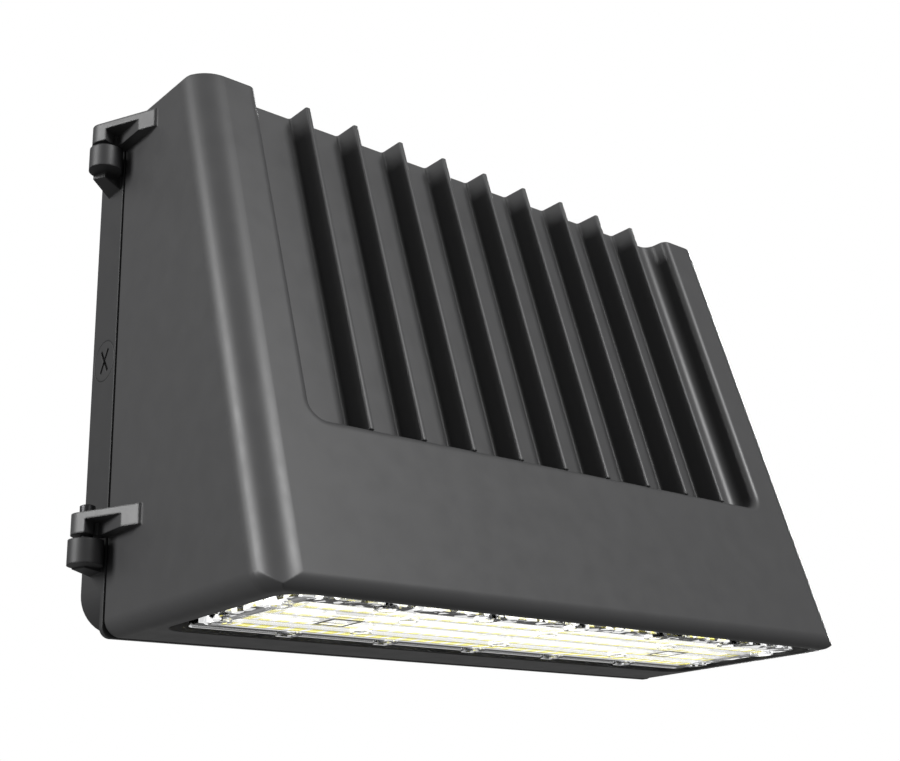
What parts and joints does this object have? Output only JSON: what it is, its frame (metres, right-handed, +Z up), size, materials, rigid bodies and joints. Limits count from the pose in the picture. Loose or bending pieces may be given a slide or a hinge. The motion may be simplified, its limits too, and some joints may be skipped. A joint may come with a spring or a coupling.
{
  "type": "wall pack light",
  "caption": "Hinged LED wall pack light in dark grey die-cast aluminium: finned front housing on lift-off pin hinges over a shallow back box, with a clear bar lens underneath.",
  "frame": {"origin": "centre of the wall screw pattern, on the wall's face", "axes": "X along the wall to the right seen from the front, -Y away from the wall, Z up"},
  "size_m": [0.3905, 0.1582, 0.2555],
  "materials": {
    "powder_coat_housing": "satin powder coat",
    "powder_coat_box": "satin powder coat",
    "foam_rubber": "matte",
    "black_silicone": "satin",
    "black_plastic": "matte",
    "ivory_plastic": "matte",
    "green_steel": "green dyed",
    "zinc_steel": "zinc plated",
    "pin_steel": "bright drawn",
    "screw_steel": "stainless",
    "clear_lens": "clear, polished",
    "heat_pad_grey": "matte",
    "board_white": "solder mask",
    "chip_yellow": "phosphor gel",
    "driver_aluminium": "extruded",
    "red_sleeve": "satin",
    "black_sleeve": "satin"
  },
  "bodies": {
    "back_box": {"back_box": "powder_coat_box", "wall_gasket": "foam_rubber", "conduit_plugs": "powder_coat_box", "breather_vent": "black_plastic", "ground_screw": "green_steel", "ground_washer": "zinc_steel", "housing_seal": "black_silicone"},
    "housing": {"front_housing": "powder_coat_housing", "lower_hinge_pin": "pin_steel", "upper_hinge_pin": "pin_steel", "lens": "clear_lens", "lens_seal": "black_silicone", "lens_screws": "screw_steel", "optic_screws": "screw_steel", "heat_pad": "heat_pad_grey", "led_board": "board_white", "led_chips": "chip_yellow", "board_screws": "zinc_steel", "board_connectors": "ivory_plastic", "lead_grommet": "black_silicone", "driver": "driver_aluminium", "driver_end_caps": "black_plastic", "driver_screws": "zinc_steel", "surge_protector": "black_plastic", "surge_screw": "zinc_steel", "terminal_block": "ivory_plastic", "terminal_screws": "zinc_steel", "terminal_mount_screws": "zinc_steel", "led_leads": "red_sleeve", "driver_leads": "black_sleeve", "surge_leads": "black_sleeve"},
    "lower_screw": {"lower_cover_screw": "screw_steel", "lower_screw_retainer": "zinc_steel"},
    "upper_screw": {"upper_cover_screw": "screw_steel", "upper_screw_retainer": "zinc_steel"}
  },
  "joints": [
    {"name": "housing_hinge", "type": "hinge", "parent": "back_box", "child": "housing", "pos_m": [-0.1895, -0.0225, 0], "axis": [0, 0, -1], "range_deg": [0, 100]},
    {"name": "lower_screw_out", "type": "slide", "parent": "housing", "child": "lower_screw", "axis": [0, -1, 0], "range_m": [0, 0.0075]},
    {"name": "upper_screw_out", "type": "slide", "parent": "housing", "child": "upper_screw", "axis": [0, -1, 0], "range_m": [0, 0.0075]}
  ]
}
